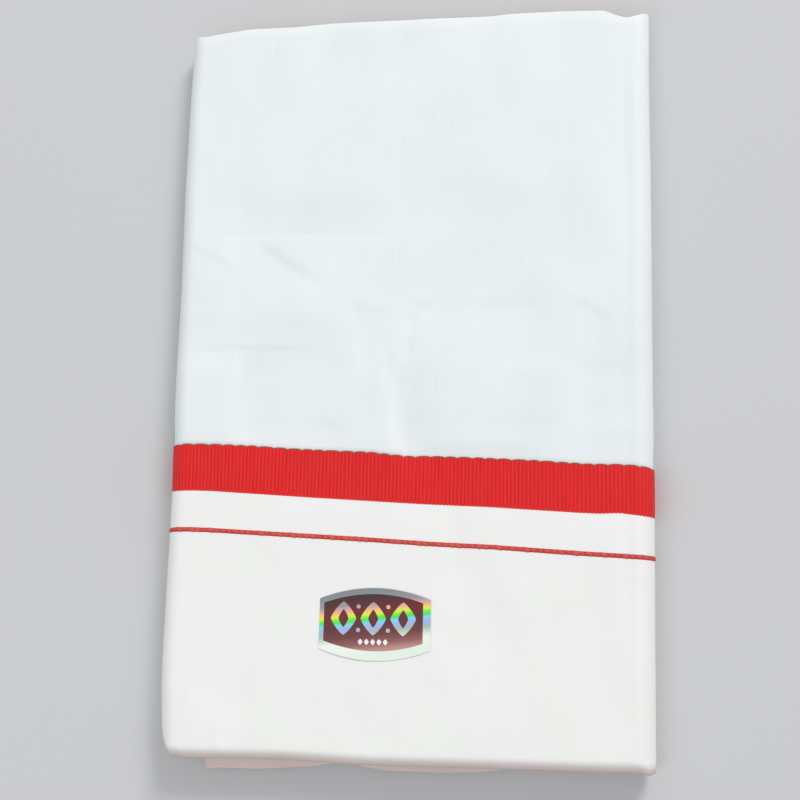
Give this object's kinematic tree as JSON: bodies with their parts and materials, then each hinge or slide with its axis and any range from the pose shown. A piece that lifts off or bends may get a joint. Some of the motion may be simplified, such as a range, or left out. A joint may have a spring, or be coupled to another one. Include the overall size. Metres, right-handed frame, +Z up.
{
  "type": "dhoti cloth",
  "caption": "White cotton dhoti cloth folded into a flat soft-edged stack for sale, its red ribbed border turned up across the top, with a foil sticker on the flap.",
  "frame": {"origin": "centre of the flat underside, midway along and across the folded cloth", "axes": "+X across the stack to the right spine, +Y along its length from the flap's fold to the far end, +Z up through the layers"},
  "size_m": [0.2364, 0.3766, 0.0197],
  "materials": {
    "white_cotton": "plain weave, matte",
    "red_band": "warp-ribbed, matte",
    "red_line": "corded, matte",
    "label_foil": "printed foil, glossy"
  },
  "bodies": {
    "root": {"body_cloth": "white_cotton", "flap_margin": "white_cotton", "pin_line": "red_line", "border_band": "red_band", "inner_layers": "white_cotton", "label": "label_foil"}
  },
  "joints": []
}
